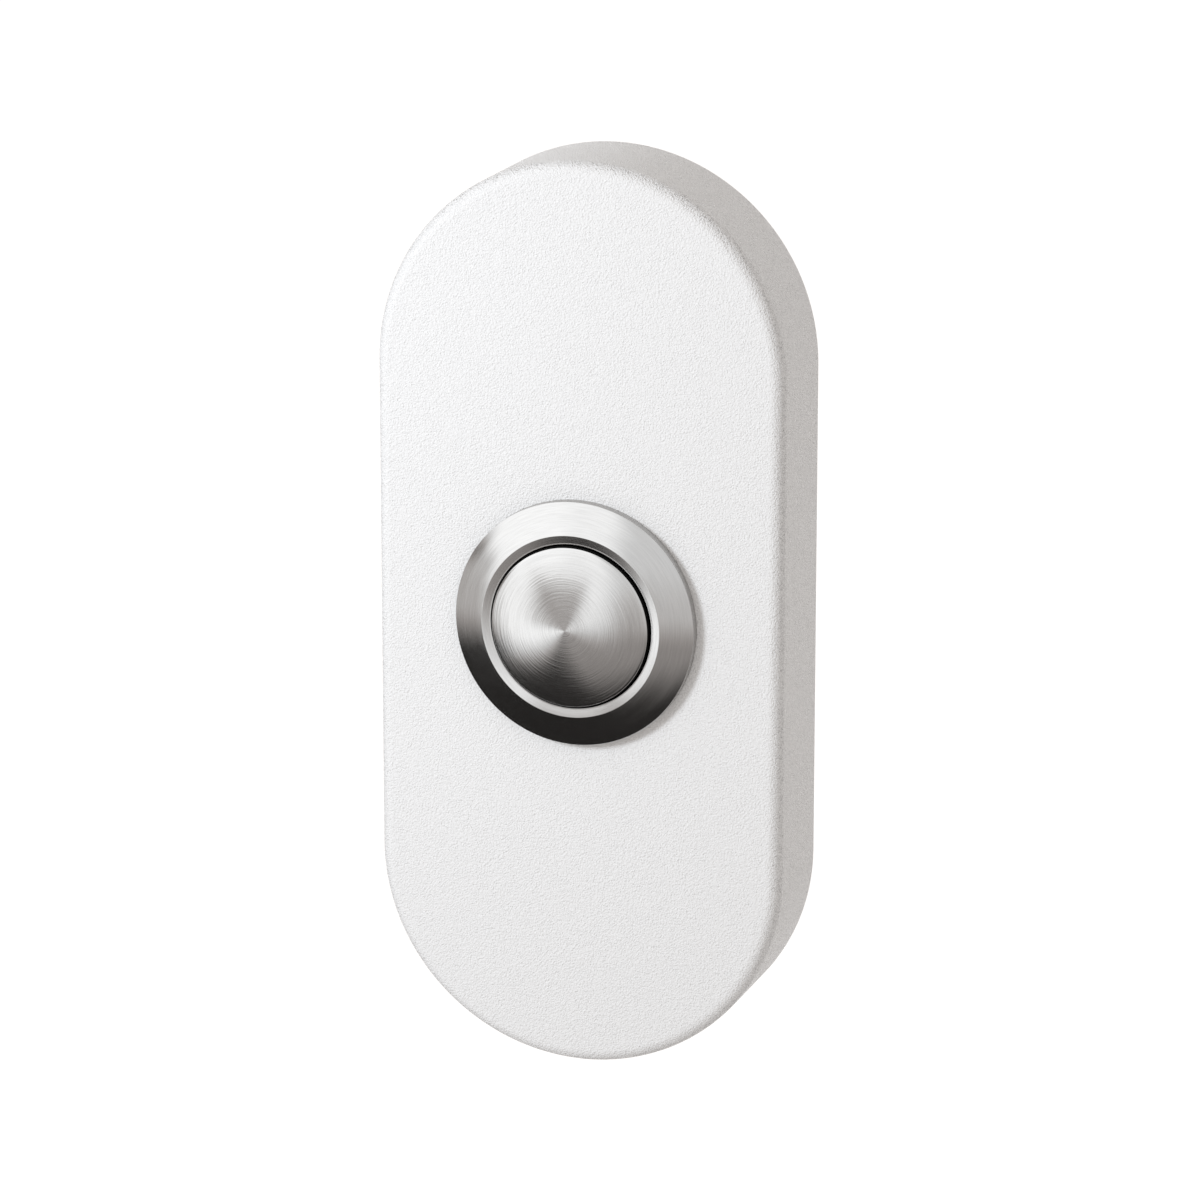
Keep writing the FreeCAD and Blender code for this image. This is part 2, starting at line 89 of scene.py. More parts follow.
# Sizes of the cover
cover_radius = cover_high.x
cover_straight = cover_high.z - cover_radius
cover_face = cover_low.y
cover_inside = washer_low.y
side_wall = 1.5
front_radius = 1.0
back_chamfer = 0.2
inner_chamfer = 0.5
hole_edge = 0.12
hole_radius = 8.1
cover_columns_per_side = 100
cover_columns_per_arc = 132
boss_side = 3.5
boss_front = -8.5
boss_end = -30.5
hook_side = 4.0
hook_front = -1.3
hook_back = -0.3
hook_end = 31.7
wall_bite = 0.75
boss_rounding = 0.15
set_screw_bore = 1.5

# Sizes of the wall plate
plate_front = -2.4
plate_rim_width = 1.2
plate_rim_depth = 1.6
plate_opening = 11.5
plate_bevel = 0.12
fixing_spacing = 44.0
fixing_radius = 2.1
fixing_head_radius = 4.1
fixing_pad_border = 1.1
fixing_pad_height = 0.6
lug_side = 4.0
lug_thickness = 1.6
gusset_width = 1.0
gusset_reach = 1.5
gusset_front = cover_inside + 1.7

# Sizes of the turned head and its barrel
barrel_radius = 8.0
rear_bore = 6.8
shoulder = -6.9
mouth_radius = 6.34
land_width = 0.1
land_height = 1.6
chamfer_run = 0.58
crest_radius = mouth_radius + land_width + chamfer_run
rim_height = 0.83
gasket_roof = 0.5
gasket_recess = 8.95
barrel_chamfer = 0.5
thread_pitch = 1.0
thread_depth = 0.6134
thread_rows = 14
thread_start = cover_face + 0.6

# Sizes of the cap and its seal
cap_radius = mouth_radius - 0.1
dome_height = 1.03
edge_chamfer = 0.15
lit_chamfer = 0.05
tip_slope = 0.05
cap_recess_radius = 4.6
cap_recess_floor = cap_low.y + 2.1
flange_gap = 0.02
seal_thickness = 0.9
seal_gap = 0.03

# Sizes of the rear block and its terminals
terminal_x = (screw_high.x + screw_low.x) / 2
terminal_z = (screw_high.z + screw_low.z) / 2
terminal_head_radius = (screw_high.x - screw_low.x) / 2
terminal_head_overhang = 1.0
terminal_head_height = 1.6
terminal_slot_depth = 0.8
terminal_slot_side = 0.3
block_back = screw_low.y + 1.8
barrier_side = 0.5
barrier_top = 1.6
barrier_inset = 0.15
leg_sides = (4.05, 4.95)
leg_half_height = 1.05
pin_relief_radius = 1.3
pin_relief_end = 2.19

# Camera, fitted to the photograph's outline
camera_azimuth = 18.504
camera_elevation = 14.765
camera_distance = 0.42466
camera_target = Vector((0.000351, -0.005, 0.000624))
camera_lens = 168.0

# Light levels, against a world of strength 1
ambient_level = 0.67
key_level = 0.567
key_colour = (0.945, 1.0, 1.065)
key_direction = (-34, 20)
key_distance = 0.195
key_size = 0.05
ambient_colour = (1.035, 0.985, 0.955)
tent_radius = 0.13


def turn(value):
    """Degrees as radians."""
    return math.radians(value)


# Mesh helpers


def rounded(corners, steps=4):
    """Points of a profile whose (radius, station, rounding) corners become small arcs."""
    points = []
    for k, (radius, station, rounding) in enumerate(corners):
        here = Vector((radius, station))
        before = Vector(corners[k - 1][:2]) - here
        after = Vector(corners[(k + 1) % len(corners)][:2]) - here
        if rounding == 0:
            points.append(here)
            continue
        half = before.angle(after) / 2
        reach = min(rounding / math.tan(half), 0.45 * before.length, 0.45 * after.length)
        centre_way = (before.normalized() + after.normalized()).normalized()
        centre = here + centre_way * (reach / math.cos(half))
        start = here + before.normalized() * reach - centre
        end = here + after.normalized() * reach - centre
        sweep = start.angle(end)
        for s in range(steps + 1):
            share = s / steps
            arm = start * math.sin((1 - share) * sweep) + end * math.sin(share * sweep)
            points.append(centre + arm / math.sin(sweep))
    return points


def densified(points, longest):
    """The same profile with points added so that no run is longer than asked."""
    result = []
    for a, b in zip(points, points[1:] + points[:1]):
        parts = max(1, math.ceil((b - a).length / longest))
        result += [a.lerp(b, k / parts) for k in range(parts)]
    return result


def lathe(points, segments=192, radius_at=None):
    """A closed profile of (radius, station) points turned about the Y axis."""
    mesh = bmesh.new()
    rings = []
    for radius, station in points:
        if radius < 1e-6:
            rings.append([mesh.verts.new((0, station, 0))])
            continue
        ring = []
        for k in range(segments):
            angle = 2 * math.pi * k / segments
            reach = radius_at(radius, station, angle) if radius_at else radius
            ring.append(mesh.verts.new((reach * math.cos(angle), station, reach * math.sin(angle))))
        rings.append(ring)
    for a, b in zip(rings, rings[1:] + rings[:1]):
        if len(a) == 1 and len(b) == 1:
            continue
        for k in range(segments):
            n = (k + 1) % segments
            corners = [a[k % len(a)], a[n % len(a)], b[n % len(b)], b[k % len(b)]]
            mesh.faces.new(list(dict.fromkeys(corners)))
    return mesh


def solid(near_points, far_points):
    """A closed solid between two outlines that have as many points each."""
    mesh = bmesh.new()
    near = [mesh.verts.new(point) for point in near_points]
    far = [mesh.verts.new(point) for point in far_points]
    mesh.faces.new(near)
    mesh.faces.new(far[::-1])
    for k in range(len(near)):
        n = (k + 1) % len(near)
        mesh.faces.new([near[k], far[k], far[n], near[n]])
    return mesh


def prism(outline, front, back):
    """A slab between two stations whose outline is a list of (x, z) points."""
    return solid([(x, front, z) for x, z in outline], [(x, back, z) for x, z in outline])


def circle(radius, count, x=0.0, z=0.0):
    """Points of a circle in the plane of the cover."""
    angles = [2 * math.pi * k / count for k in range(count)]
    return [(x + radius * math.cos(a), z + radius * math.sin(a)) for a in angles]


def rod(radius, front, back, x=0.0, z=0.0, count=128):
    """A cylinder along the Y direction."""
    return prism(circle(radius, count, x, z), front, back)


def block(x_range, y_range, z_range):
    """A box from its range on each axis."""
    (x0, x1), (z0, z1) = x_range, z_range
    return prism([(x0, z0), (x1, z0), (x1, z1), (x0, z1)], *y_range)


def stadium(radius, front, back, count=96):
    """A slab with straight sides and full round ends, as tall as the cover's centres say."""
    outline = []
    for start, z in ((0, cover_straight), (180, -cover_straight)):
        for k in range(count + 1):
            angle = turn(start + 180 * k / count)
            outline.append((radius * math.cos(angle), z + radius * math.sin(angle)))
    return prism(outline, front, back)


def cone(front_radius, back_radius, front, back, x=0.0, z=0.0, count=128):
    """A truncated cone along the Y direction."""
    near = circle(front_radius, count, x, z)
    far = circle(back_radius, count, x, z)
    return solid([(px, front, pz) for px, pz in near], [(px, back, pz) for px, pz in far])


def mirrored(mesh):
    """The same mesh on the other side of the plane x = 0."""
    copy = mesh.copy()
    bmesh.ops.scale(copy, vec=(-1, 1, 1), verts=copy.verts)
    return copy


def as_object(mesh):
    """A loose object holding a mesh, for modifiers to work on."""
    bmesh.ops.recalc_face_normals(mesh, faces=mesh.faces)
    data = bpy.data.meshes.new("work")
    mesh.to_mesh(data)
    holder = bpy.data.objects.new("work", data)
    bpy.context.scene.collection.objects.link(holder)
    return holder


def evaluated(holder):
    """The holder's mesh after its modifiers."""
    graph = bpy.context.evaluated_depsgraph_get()
    data = bpy.data.meshes.new_from_object(holder.evaluated_get(graph))
    mesh = bmesh.new()
    mesh.from_mesh(data)
    bpy.data.meshes.remove(data)
    return mesh


def combined(base, tools, operation):
    """The base with each tool added to it or cut from it."""
    holder = as_object(base)
    others = [as_object(tool) for tool in tools]
    for other in others:
        step = holder.modifiers.new("step", "BOOLEAN")
        step.operation = operation
        step.solver = "EXACT"
        step.object = other
    mesh = evaluated(holder)
    for done in [holder] + others:
        bpy.data.objects.remove(done)
    bmesh.ops.remove_doubles(mesh, verts=mesh.verts, dist=1e-5)
    return mesh


def fused(base, *tools):
    """The base with the tools added."""
    return combined(base, tools, "UNION")


def cut(base, *tools):
    """The base with the tools taken away."""
    return combined(base, tools, "DIFFERENCE")


def softened(mesh, width, angle=30, segments=2):
    """The mesh with its sharp edges rounded off."""
    holder = as_object(mesh)
    step = holder.modifiers.new("step", "BEVEL")
    step.width = width
    step.segments = segments
    step.limit_method = "ANGLE"
    step.angle_limit = turn(angle)
    step.use_clamp_overlap = True
    result = evaluated(holder)
    bpy.data.objects.remove(holder)
    return result


def evenly_shaded(piece):
    """The piece's mesh with its large flat faces shaded flat, however thin their neighbours are."""
    step = piece.modifiers.new("step", "WEIGHTED_NORMAL")
    step.keep_sharp = True
    graph = bpy.context.evaluated_depsgraph_get()
    data = bpy.data.meshes.new_from_object(piece.evaluated_get(graph))
    piece.modifiers.clear()
    return data


def finish_piece(name, mesh, node, sharp=28, even=False):
    """Turns a millimetre mesh into a piece that stands for a node of the frame."""
    bmesh.ops.recalc_face_normals(mesh, faces=mesh.faces)
    bmesh.ops.scale(mesh, vec=(MM, MM, MM), verts=mesh.verts)
    data = bpy.data.meshes.new(name)
    mesh.to_mesh(data)
    data.polygons.foreach_set("use_smooth", [True] * len(data.polygons))
    data.set_sharp_from_angle(angle=turn(sharp))
    piece = bpy.data.objects.new(name, data)
    bpy.context.scene.collection.objects.link(piece)
    if even:
        piece.data = evenly_shaded(piece)
    slot = slot_of[node]
    piece.data.materials.append(materials[slot])
    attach(piece, body_of[node])
    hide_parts(node)
    return piece


# Material helpers


class Finish:
    """A Principled material with short ways to wire its texture nodes."""

    def __init__(self, name, colour, roughness, metallic=0.0, specular=0.5):
        self.material = bpy.data.materials.new(name)
        self.material.use_nodes = True
        self.tree = self.material.node_tree
        self.surface = self.tree.nodes["Principled BSDF"]
        self.set("Base Color", (*colour, 1.0))
        self.set("Roughness", roughness)
        self.set("Metallic", metallic)
        self.set("Specular IOR Level", specular)
        place = self.tree.nodes.new("ShaderNodeTexCoord")
        self.place = place.outputs["Object"]
        self.normal = place.outputs["Normal"]

    def set(self, socket, value):
        """A value that is the same all over, on the shader's own socket."""
        self.surface.inputs[socket].default_value = value

    def wire(self, socket, output):
        """Links an output to one of the shader's sockets."""
        self.tree.links.new(output, self.surface.inputs[socket])

    def feed(self, target, value):
        """Links an output to an input, or sets a plain number on it."""
        if isinstance(value, (int, float)):
            target.default_value = value
        else:
            self.tree.links.new(value, target)

    def calc(self, operation, *values):
        """One Math node."""
        node = self.tree.nodes.new("ShaderNodeMath")
        node.operation = operation
        for socket, value in zip(node.inputs, values):
            self.feed(socket, value)
        return node.outputs[0]

    def noise(self, feature_mm, detail=2.0, distortion=0.0, vector=None):
        """Noise whose features are about this many millimetres across."""
        node = self.tree.nodes.new("ShaderNodeTexNoise")
        node.inputs["Scale"].default_value = 1 / (feature_mm * MM)
        node.inputs["Detail"].default_value = detail
        node.inputs["Distortion"].default_value = distortion
        self.tree.links.new(vector or self.place, node.inputs["Vector"])
        return node.outputs["Fac"]

    def cells(self, feature_mm):
        """Soft rounded cells about this many millimetres across."""
        node = self.tree.nodes.new("ShaderNodeTexVoronoi")
        node.feature = "SMOOTH_F1"
        node.inputs["Scale"].default_value = 1 / (feature_mm * MM)
        node.inputs["Smoothness"].default_value = 0.8
        self.tree.links.new(self.place, node.inputs["Vector"])
        return node.outputs["Distance"]

    def between(self, value, low, high):
        """Spreads noise around 0.5 over the range from low to high."""
        node = self.tree.nodes.new("ShaderNodeMapRange")
        node.inputs["From Min"].default_value = 0.3
        node.inputs["From Max"].default_value = 0.7
        node.inputs["To Min"].default_value = low
        node.inputs["To Max"].default_value = high
        self.tree.links.new(value, node.inputs["Value"])
        return node.outputs["Result"]

    def vary_colour(self, value, low, high):
        """Lets the base colour wander between two colours."""
        node = self.tree.nodes.new("ShaderNodeMix")
        node.data_type = "RGBA"
        colours = [socket for socket in node.inputs if socket.type == "RGBA"]
        colours[0].default_value = (*low, 1.0)
        colours[1].default_value = (*high, 1.0)
        self.tree.links.new(self.between(value, 0.0, 1.0), node.inputs["Factor"])
        output = [socket for socket in node.outputs if socket.type == "RGBA"][0]
        self.wire("Base Color", output)

    def bump(self, height, depth_mm, under=None, strength=1.0):
        """Relief of about this depth; under is the relief that it lies on."""
        node = self.tree.nodes.new("ShaderNodeBump")
        self.feed(node.inputs["Strength"], strength)
        node.inputs["Distance"].default_value = depth_mm * MM
        self.tree.links.new(height, node.inputs["Height"])
        if under:
            self.tree.links.new(under, node.inputs["Normal"])
        return node.outputs["Normal"]

    def rings(self, x=0.0, z=0.0):
        """Coordinates that hardly change round a turning axis, so noise becomes tool marks."""
        parts = self.tree.nodes.new("ShaderNodeSeparateXYZ")
        self.tree.links.new(self.place, parts.inputs[0])
        across = self.calc("SUBTRACT", parts.outputs["X"], x * MM)
        up = self.calc("SUBTRACT", parts.outputs["Z"], z * MM)
        square = self.calc("ADD", self.calc("MULTIPLY", across, across), self.calc("MULTIPLY", up, up))
        radius = self.calc("SQRT", square)
        along = self.calc("SUBTRACT", radius, parts.outputs["Y"])
        joined = self.tree.nodes.new("ShaderNodeCombineXYZ")
        slow = 0.03
        self.feed(joined.inputs[0], along)
        self.feed(joined.inputs[1], self.calc("MULTIPLY", across, slow))
        self.feed(joined.inputs[2], self.calc("MULTIPLY", up, slow))
        return joined.outputs[0]


def scaled(colour, factor):
    """A colour made lighter or darker, up to white."""
    return tuple(min(1.0, c * factor) for c in colour)


def powder_coat():
    """White structured coat: fine sand-like grain over a slow orange peel.

    The grain is deepest where the coat goes round an edge, and deeper on the side than on the face.
    """
    colour = (0.83, 0.83, 0.825)
    on_side = 0.62
    on_face = 0.40
    on_edge = 0.9
    finish = Finish("white_powder_coat", colour, 0.5, specular=0.3)
    finish.vary_colour(finish.noise(0.16, detail=1.0), scaled(colour, 0.975), scaled(colour, 1.02))
    finish.wire("Roughness", finish.between(finish.noise(0.5), 0.38, 0.52))
    normal = finish.tree.nodes.new("ShaderNodeSeparateXYZ")
    finish.tree.links.new(finish.normal, normal.inputs[0])
    facing = finish.calc("ABSOLUTE", normal.outputs["Y"])
    turning = finish.calc("MULTIPLY", facing, finish.calc("SUBTRACT", 1.0, facing))
    flat = finish.calc("MULTIPLY_ADD", facing, on_face - on_side, on_side)
    strength = finish.calc("MULTIPLY_ADD", turning, on_edge, flat)
    slow = finish.bump(finish.noise(1.6, detail=1.0), 0.015)
    grain = finish.bump(finish.noise(0.12, detail=1.0), 0.34, slow, strength)
    finish.wire("Normal", finish.bump(finish.cells(0.14), 0.08, grain, strength))
    return finish.material


def turned_steel(name, roughness, mark_mm, mark_depth, colour=(0.775, 0.775, 0.772)):
    """Lathe-turned stainless: grooves round the axis spread each highlight across them."""
    finish = Finish(name, colour, roughness, metallic=1.0)
    rings = finish.rings()
    coarse = finish.noise(mark_mm, detail=2.0, vector=rings)
    fine = finish.noise(0.03, detail=1.0, vector=rings)
    finish.vary_colour(coarse, scaled(colour, 0.95), scaled(colour, 1.04))
    finish.wire("Roughness", finish.between(fine, roughness * 0.85, roughness * 1.15))
    finish.set("Anisotropic", 1.0)
    finish.set("Anisotropic Rotation", 0.25)
    tangent = finish.tree.nodes.new("ShaderNodeTangent")
    tangent.direction_type = "RADIAL"
    tangent.axis = "Y"
    finish.wire("Tangent", tangent.outputs[0])
    marks = finish.bump(coarse, mark_depth)
    finish.wire("Normal", finish.bump(fine, 0.0006, marks))
    return finish.material


def rolled_metal(name, colour, roughness, grain_mm, depth_mm):
    """Sheet, bar or plated metal with a fine uneven skin."""
    finish = Finish(name, colour, roughness, metallic=1.0)
    finish.vary_colour(finish.noise(1.8, detail=3.0), scaled(colour, 0.88), scaled(colour, 1.06))
    spread = finish.between(finish.noise(grain_mm, detail=3.0), roughness * 0.8, roughness * 1.25)
    finish.wire("Roughness", spread)
    finish.wire("Normal", finish.bump(finish.noise(grain_mm, detail=2.0), depth_mm))
    return finish.material


def moulded_plastic(name, colour, roughness, grain_mm, depth_mm):
    """Moulded plastic or rubber with the spark-eroded grain of its tool."""
    finish = Finish(name, colour, roughness)
    finish.vary_colour(finish.noise(3.0), scaled(colour, 0.90), scaled(colour, 1.08))
    spread = finish.between(finish.noise(0.6), roughness * 0.9, min(1.0, roughness * 1.12))
    finish.wire("Roughness", spread)
    finish.wire("Normal", finish.bump(finish.noise(grain_mm, detail=2.0), depth_mm))
    return finish.material


materials = {
    "white_powder_coat": powder_coat(),
    "turned_stainless": turned_steel("turned_stainless", 0.10, 0.055, 0.0012),
    "plated_steel": rolled_metal("plated_steel", (0.60, 0.60, 0.59), 0.30, 0.20, 0.004),
    "spring_steel": rolled_metal("spring_steel", (0.50, 0.49, 0.47), 0.28, 0.10, 0.002),
    "black_oxide_steel": rolled_metal("black_oxide_steel", (0.06, 0.06, 0.065), 0.42, 0.12, 0.004),
    "contact_bronze": rolled_metal("contact_bronze", (0.72, 0.45, 0.26), 0.26, 0.15, 0.002),
    "terminal_brass": rolled_metal("terminal_brass", (0.78, 0.60, 0.30), 0.30, 0.18, 0.003),
    "black_nylon": moulded_plastic("black_nylon", (0.022, 0.022, 0.024), 0.50, 0.14, 0.010),
    "ivory_plastic": moulded_plastic("ivory_plastic", (0.72, 0.67, 0.55), 0.42, 0.20, 0.006),
    "black_rubber": moulded_plastic("black_rubber", (0.012, 0.012, 0.012), 0.72, 0.18, 0.012),
}

# Finishes of single faces of the head and the cap, two of them painted shade
cap_steel = turned_steel("turned_cap", 0.13, 0.09, 0.0080)
# Painted shade: near-black steel for the mouth's bore and the cap's side behind its lit edge, which lie
# in the shade of the narrow gap
shade_painted_steel = rolled_metal("painted_shade_steel", (0.008, 0.008, 0.008), 0.6, 0.12, 0.002)
chamfer_steel = turned_steel("turned_chamfer", 0.15, 0.055, 0.0012)
barrel_steel = rolled_metal("threaded_steel", (0.62, 0.62, 0.61), 0.34, 0.10, 0.003)
# Painted shade: a darker copy of the turned steel for the rim's outer side, which reflects the shaded
# coat beside it
rim_side_shade_steel = turned_steel("turned_side_painted_shade", 0.3, 0.06, 0.0010, (0.50, 0.49, 0.48))


# Cover


def cover_stations():
    """Places round the cover's outline: the centre of each ray and its direction."""
    places = []
    for start, end_z in ((0, cover_straight), (180, -cover_straight)):
        for k in range(cover_columns_per_arc):
            angle = turn(start + 180 * k / cover_columns_per_arc)
            places.append((end_z, Vector((math.cos(angle), math.sin(angle)))))
        side = -1 if start == 0 else 1
        for k in range(cover_columns_per_side):
            z = end_z * (1 - 2 * k / cover_columns_per_side)
            places.append((z, Vector((side, 0))))
    return places


def make_cover():
    """The shell as one closed skin of rings, from the hole's wall round to the hole again."""
    places = cover_stations()
    outline = [Vector((0, z)) + way * cover_radius for z, way in places]

    def edge(inset, station):
        return [
            (*(Vector((0, z)) + way * (cover_radius - inset)), station) for z, way in places
        ]

    def ring_of_hole(radius, station):
        return [(*(point.normalized() * radius), station) for point in outline]

    def blend(radius, inset, share, station):
        inner = ring_of_hole(radius, station)
        outer = edge(inset, station)
        return [
            tuple(a[i] + (b[i] - a[i]) * share for i in range(3)) for a, b in zip(inner, outer)
        ]

    fillet_steps = 10
    face_shares = [0.02, 0.06, 0.12, 0.2, 0.3, 0.42, 0.55, 0.68, 0.8, 0.9, 0.96, 0.99]
    rings = [ring_of_hole(hole_radius, cover_inside + (cover_face - cover_inside) * s)
             for s in (0, 0.3, 0.6, 0.85)]
    for k in range(5):
        angle = turn(90 * k / 4)
        rings.append(ring_of_hole(
            hole_radius + hole_edge * (1 - math.cos(angle)),
            cover_face + hole_edge * (1 - math.sin(angle)),
        ))
    hole_rim = hole_radius + hole_edge
    rings += [blend(hole_rim, front_radius, share, cover_face) for share in face_shares]
    for k in range(fillet_steps + 1):
        angle = turn(90 * k / fillet_steps)
        rings.append(edge(
            front_radius * (1 - math.sin(angle)),
            cover_face + front_radius * (1 - math.cos(angle)),
        ))
    wall_start = cover_face + front_radius
    wall_shares = (0.1, 0.3, 0.5, 0.7, 0.9, 1)
    rings += [edge(0, wall_start * (1 - share) - back_chamfer * share) for share in wall_shares]
    rings += [edge(back_chamfer, 0), edge(side_wall - 0.1, 0), edge(side_wall, -0.1)]
    inner_end = cover_inside + inner_chamfer
    rings += [edge(side_wall, inner_end * s) for s in (0.25, 0.5, 0.75, 1)]
    rings.append(edge(side_wall + inner_chamfer, cover_inside))
    rings += [
        blend(hole_radius, side_wall + inner_chamfer, 1 - share, cover_inside)
        for share in (0.1, 0.3, 0.5, 0.7, 0.9)
    ]

    mesh = bmesh.new()
    grid = [[mesh.verts.new((x, y, z)) for x, z, y in ring] for ring in rings]
    for a, b in zip(grid, grid[1:] + grid[:1]):
        for k in range(len(places)):
            n = (k + 1) % len(places)
            mesh.faces.new([a[k], a[n], b[n], b[k]])

    boss = block(
        (-boss_side, boss_side),
        (boss_front, plate_front - seat_gap),
        (cover_low.z + wall_bite, boss_end),
    )
    hook = block(
        (-hook_side, hook_side), (hook_front, hook_back), (hook_end, cover_high.z - wall_bite)
    )
    shell = fused(mesh, softened(boss, boss_rounding), softened(hook, boss_rounding))
    set_screw_y = (set_low.y + set_high.y) / 2
    bore = rod(set_screw_bore, -cover_high.z - overrun, boss_end + overrun, count=64)
    bmesh.ops.rotate(bore, matrix=Matrix.Rotation(turn(90), 3, "X"), verts=bore.verts)
    bmesh.ops.translate(bore, vec=(0, set_screw_y, 0), verts=bore.verts)
    return cut(shell, bore)


def make_plate():
    """Moulded wall plate: rim, screw pads, opening, and the lug for the set screw."""
    radius = plate_high.x
    rim_front = plate_front - plate_rim_depth
    boss_way = boss_side + seat_gap
    plate = fused(
        stadium(radius, plate_front, 0),
        cut(
            stadium(radius, rim_front, plate_front + bite),
            stadium(radius - plate_rim_width, rim_front - overrun, plate_front + overrun),
            block((-boss_way, boss_way), (rim_front - overrun, plate_front), (plate_low.z - overrun, 0)),
        ),
    )
    fixing_places = (-fixing_spacing / 2, fixing_spacing / 2)
    pad_radius = fixing_head_radius + fixing_pad_border
    pad_front = plate_front - fixing_pad_height
    pads = [rod(pad_radius, pad_front, plate_front + bite, z=z) for z in fixing_places]
    foot = set_high.z + lug_thickness
    lug = block((-lug_side, lug_side), (cover_inside + seat_gap, plate_front + bite), (set_high.z, foot))
    gusset_corners = [
        (plate_front + bite, foot - bite),
        (plate_front + bite, foot + gusset_reach),
        (plate_front, foot + gusset_reach),
        (gusset_front, foot),
        (gusset_front, foot - bite),
    ]
    gussets = []
    for x in (-lug_side, lug_side - gusset_width):
        near = [(x, y, z) for y, z in gusset_corners]
        far = [(x + gusset_width, y, z) for y, z in gusset_corners]
        gussets.append(solid(near, far))
    plate = fused(plate, *pads, lug, *gussets)
    cuts = [rod(plate_opening, rim_front - overrun, overrun)]
    sink_depth = fixing_head_radius - fixing_radius
    sink_over = 0.3
    for z in fixing_places:
        cuts.append(rod(fixing_radius, pad_front - overrun, overrun, z=z, count=64))
        cuts.append(cone(
            fixing_head_radius + sink_over, fixing_radius,
            pad_front - sink_over, pad_front + sink_depth, z=z,
        ))
    hook_way = hook_side + seat_gap
    cuts.append(block(
        (-hook_way, hook_way), (hook_front, overrun), (hook_end - seat_gap, plate_high.z + overrun)
    ))
    return softened(cut(plate, *cuts), plate_bevel)


# Turned head and cap


def threaded(radius, station, angle):
    """The barrel's radius with its thread cut, where the point lies on the barrel."""
    on_barrel = thread_start <= station <= housing_high.y + 1e-6
    if not on_barrel or radius < barrel_radius - thread_depth:
        return radius
    turns = station / thread_pitch - angle / (2 * math.pi)
    away = abs(turns - round(turns))
    crest_flat = 1 / 16
    flank = 5 / 16
    share = min(1.0, max(0.0, (away - crest_flat) / flank))
    start = min(1.0, (station - thread_start) / thread_pitch)
    return min(radius, barrel_radius - thread_depth * share * start)


def make_housing():
    """Conical head with its lip and mouth, and the threaded barrel behind it."""
    face = cover_face
    crest = housing_low.y
    rim = housing_high.x
    end = housing_high.y
    front = rounded([
        (mouth_radius, shoulder, 0.05),
        (mouth_radius, face - land_height, 0.03),
        (mouth_radius + land_width, face - land_height, 0.03),
        (crest_radius, crest, 0.05),
        (rim, face - rim_height, 0.08),
        (rim, face, 0.05),
        (gasket_recess, face, 0),
        (gasket_recess, face - gasket_roof, 0),
        (barrel_radius, face - gasket_roof, 0),
        (barrel_radius, end - barrel_chamfer, 0),
        (barrel_radius - barrel_chamfer, end, 0),
        (rear_bore, end, 0.08),
        (rear_bore, shoulder, 0),
    ])
    points = []
    for a, b in zip(front, front[1:] + front[:1]):
        on_barrel = abs(a.x - barrel_radius) < 1e-6 and abs(b.x - barrel_radius) < 1e-6
        on_chamfer = abs(a.x - barrel_radius) < 1e-6 and abs(b.y - end) < 1e-6
        longest = thread_pitch / thread_rows if on_barrel or on_chamfer else 1.2
        parts = max(1, math.ceil((b - a).length / longest))
        points += [a.lerp(b, k / parts) for k in range(parts)]
    return lathe(points, 256, threaded)


def make_cap():
    """Domed cap: seal groove, flange behind the shoulder, and the recess for the plunger."""
    flange = cap_high.x
    flange_front = shoulder + flange_gap
    edge_station = cap_low.y + dome_height
    dome_edge = cap_radius - edge_chamfer
    dome_radius = (dome_edge ** 2 + dome_height ** 2) / (2 * dome_height)
    widest = math.asin(dome_edge / dome_radius)
    steps = 48
    dome = []
    for k in range(steps + 1):
        angle = widest * k / steps
        radius = dome_radius * math.sin(angle)
        tip = tip_slope * radius * (1 - radius / dome_edge) ** 2
        dome.append(Vector((radius, cap_low.y + dome_radius * (1 - math.cos(angle)) + tip)))
    groove = seal_high.x - seal_thickness - seal_gap
    groove_front = seal_low.y - seal_gap
    groove_back = seal_high.y + seal_gap
    side = rounded([
        (dome_edge, edge_station, 0),
        (dome_edge + lit_chamfer, edge_station + lit_chamfer, 0),
        (cap_radius, edge_station + edge_chamfer, 0.05),
        (cap_radius, groove_front, 0.04),
        (groove, groove_front, 0),
        (groove, groove_back, 0),
        (cap_radius, groove_back, 0.04),
        (cap_radius, flange_front, 0),
        (flange, flange_front, 0.08),
        (flange, cap_high.y, 0.08),
        (cap_recess_radius, cap_high.y, 0.08),
        (cap_recess_radius, cap_recess_floor, 0),
        (0, cap_recess_floor, 0),
    ])
    return lathe(dome[:-1] + side, 256)


def make_seal():
    """Square-cut rubber ring in the cap's groove."""
    inner = seal_high.x - seal_thickness
    rounding = 0.12
    return lathe(densified(rounded([
        (inner, seal_low.y, rounding),
        (seal_high.x, seal_low.y, rounding),
        (seal_high.x, seal_high.y, rounding),
        (inner, seal_high.y, rounding),
    ]), 0.3), 192)


# Nut, spring and screws


def make_nut():
    """Thin hexagonal nut: corners chamfered behind, and both ends of the bore opened out."""
    corner = nut_high.x
    flat = corner * math.cos(turn(30))
    front, back = nut_low.y, nut_high.y
    hexagon = prism(circle(corner, 6), front, back)
    outside = corner + 0.1
    end_face = 0.95 * flat
    slope = turn(15)
    envelope = lathe([
        Vector((0, front - overrun)),
        Vector((outside, front - overrun)),
        Vector((outside, back - (outside - end_face) * math.tan(slope))),
        Vector((end_face, back)),
        Vector((0, back)),
    ], 192)
    nut = combined(hexagon, [envelope], "INTERSECT")
    bore = barrel_radius + fit_gap
    bore_chamfer = 0.35
    nut = cut(
        nut,
        rod(bore, front - overrun, back + overrun, count=192),
        cone(bore, bore + 2 * bore_chamfer, back - bore_chamfer, back + bore_chamfer, count=192),
    )
    return softened(nut, 0.06, angle=25)


